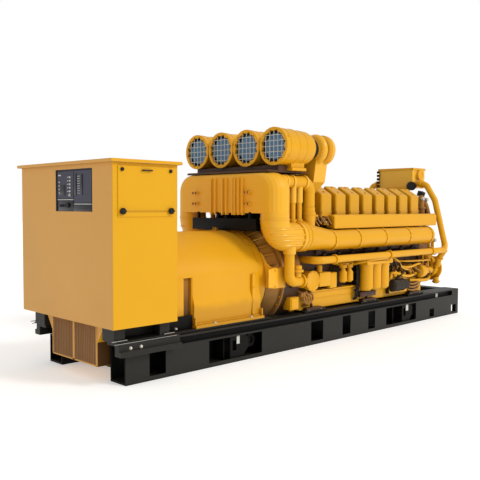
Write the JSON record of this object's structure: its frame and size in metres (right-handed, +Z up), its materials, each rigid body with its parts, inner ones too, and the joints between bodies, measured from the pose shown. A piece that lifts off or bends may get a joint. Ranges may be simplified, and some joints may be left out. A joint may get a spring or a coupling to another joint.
{
  "type": "combined heat and power generator set",
  "caption": "Skid-mounted V-engine generating set: yellow engine with overhead air cleaners, round alternator, rear control cabinet and black box-rail base.",
  "frame": {"origin": "middle of the footprint on the floor", "axes": "+X along the shaft from the cabinet end to the engine's free end, +Z up"},
  "size_m": [6.667, 1.7984, 2.6088],
  "materials": {
    "damper_black": "satin black enamel",
    "dark_cast_iron": "heat-darkened cast iron",
    "filter_blue": "pleated blue filter paper",
    "machine_yellow": "gloss machine enamel, warm yellow",
    "panel_slate": "dark slate panel paint",
    "screen_brown": "dusty yellow-brown louvre paint",
    "skid_black": "satin black enamel"
  },
  "bodies": {
    "root": {"right_skid_rail": "skid_black", "left_skid_rail": "skid_black", "skid_cross_members": "skid_black", "lifting_lugs": "skid_black", "cabinet_support_rails": "skid_black", "generator_mount_angles": "skid_black", "alternator_pads": "skid_black", "engine_pads": "skid_black", "cabinet_body": "machine_yellow", "cabinet_roof": "machine_yellow", "right_access_cover": "machine_yellow", "left_access_cover": "machine_yellow", "control_panel": "panel_slate", "air_inlet_box": "machine_yellow", "air_inlet_screens": "screen_brown", "alternator_rear_bracket": "machine_yellow", "alternator_frame": "machine_yellow", "coupling_housing": "machine_yellow", "coupling_guards": "machine_yellow", "flywheel_housing": "machine_yellow", "engine_block": "machine_yellow", "oil_pan": "machine_yellow", "front_housing": "machine_yellow", "crankshaft_damper": "damper_black", "cylinder_heads": "machine_yellow", "rocker_covers": "machine_yellow", "fuel_rail_covers": "machine_yellow", "air_pipes": "machine_yellow", "aftercooler": "machine_yellow", "air_elbows": "machine_yellow", "air_cleaner_rack": "skid_black", "turbo_pedestal": "dark_cast_iron", "air_cleaners": "machine_yellow", "air_cleaner_elements": "filter_blue", "air_cleaner_screens": "machine_yellow", "turbochargers": "machine_yellow", "exhaust_manifold": "dark_cast_iron", "coolant_pipes": "machine_yellow", "crossover_pipes": "machine_yellow", "front_box": "machine_yellow", "front_box_stand": "machine_yellow", "oil_filters": "machine_yellow", "oil_filter_bases": "machine_yellow", "starting_motors": "damper_black", "front_pumps": "machine_yellow", "water_pumps": "machine_yellow", "side_drive_covers": "machine_yellow"}
  },
  "joints": []
}
